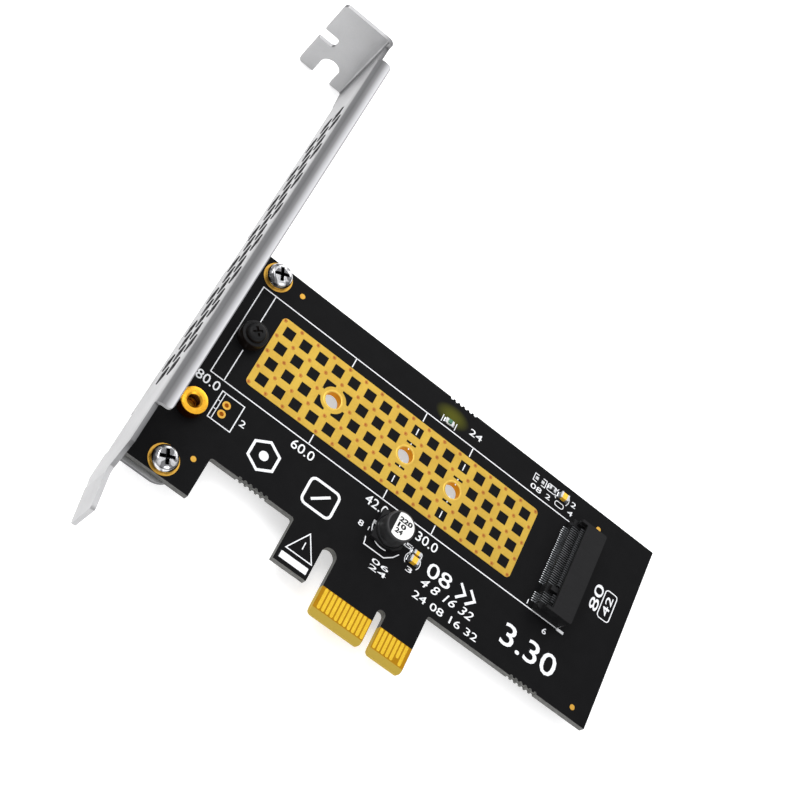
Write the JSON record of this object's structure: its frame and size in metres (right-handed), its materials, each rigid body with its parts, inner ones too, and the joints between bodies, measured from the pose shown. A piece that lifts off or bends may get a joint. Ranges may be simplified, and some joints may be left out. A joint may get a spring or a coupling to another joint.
{
  "type": "drive adapter card",
  "caption": "Expansion card that carries a slim solid state drive, with edge contacts, drive socket, gold heat pad and a perforated slot bracket",
  "frame": {"origin": "middle of the key notch, on the bottom edge of the edge contacts, half way through the board", "axes": "+X along the card from the slot bracket to the drive socket, +Y from the edge contacts up to the screw tab, +Z out of the component side"},
  "size_m": [0.1183, 0.1201, 0.0216],
  "materials": {
    "board": "black solder mask with pale print",
    "contact_gold": "bright gold plating",
    "pad_gold": "satin gold plating",
    "tin": "tin plating",
    "bracket_steel": "satin nickel plated sheet",
    "screw_chrome": "bright nickel plating",
    "black_steel": "black oxide",
    "standoff_brass": "bright turned brass",
    "socket_plastic": "fine matte black",
    "can_sleeve": "dark sleeve, white top",
    "base_plastic": "black moulding",
    "chip_ceramic": "fired tan ceramic",
    "lamp_base": "dark green base",
    "lamp_lens": "milky lens"
  },
  "bodies": {
    "root": {"circuit_board": "board", "edge_contacts_front": "contact_gold", "edge_contacts_back": "contact_gold", "heat_pad": "pad_gold", "drive_hole_eyelets": "pad_gold", "screw_lands": "pad_gold", "header_eyelets": "pad_gold", "alignment_marks": "pad_gold", "empty_lands": "tin", "mounting_bracket": "bracket_steel", "bracket_screws": "screw_chrome", "drive_standoff": "black_steel", "drive_screw": "black_steel", "spare_standoff": "standoff_brass", "socket_housing": "socket_plastic", "socket_front_contacts": "tin", "socket_back_contacts": "tin", "socket_anchors": "tin", "capacitor_can": "can_sleeve", "capacitor_base": "base_plastic", "capacitor_terminals": "tin", "chip_capacitor_bodies": "chip_ceramic", "chip_capacitor_ends": "tin", "chip_resistor_body": "base_plastic", "chip_resistor_ends": "tin", "status_lamp_base": "lamp_base", "status_lamp_ends": "tin", "status_lamp_lens": "lamp_lens"}
  },
  "joints": []
}
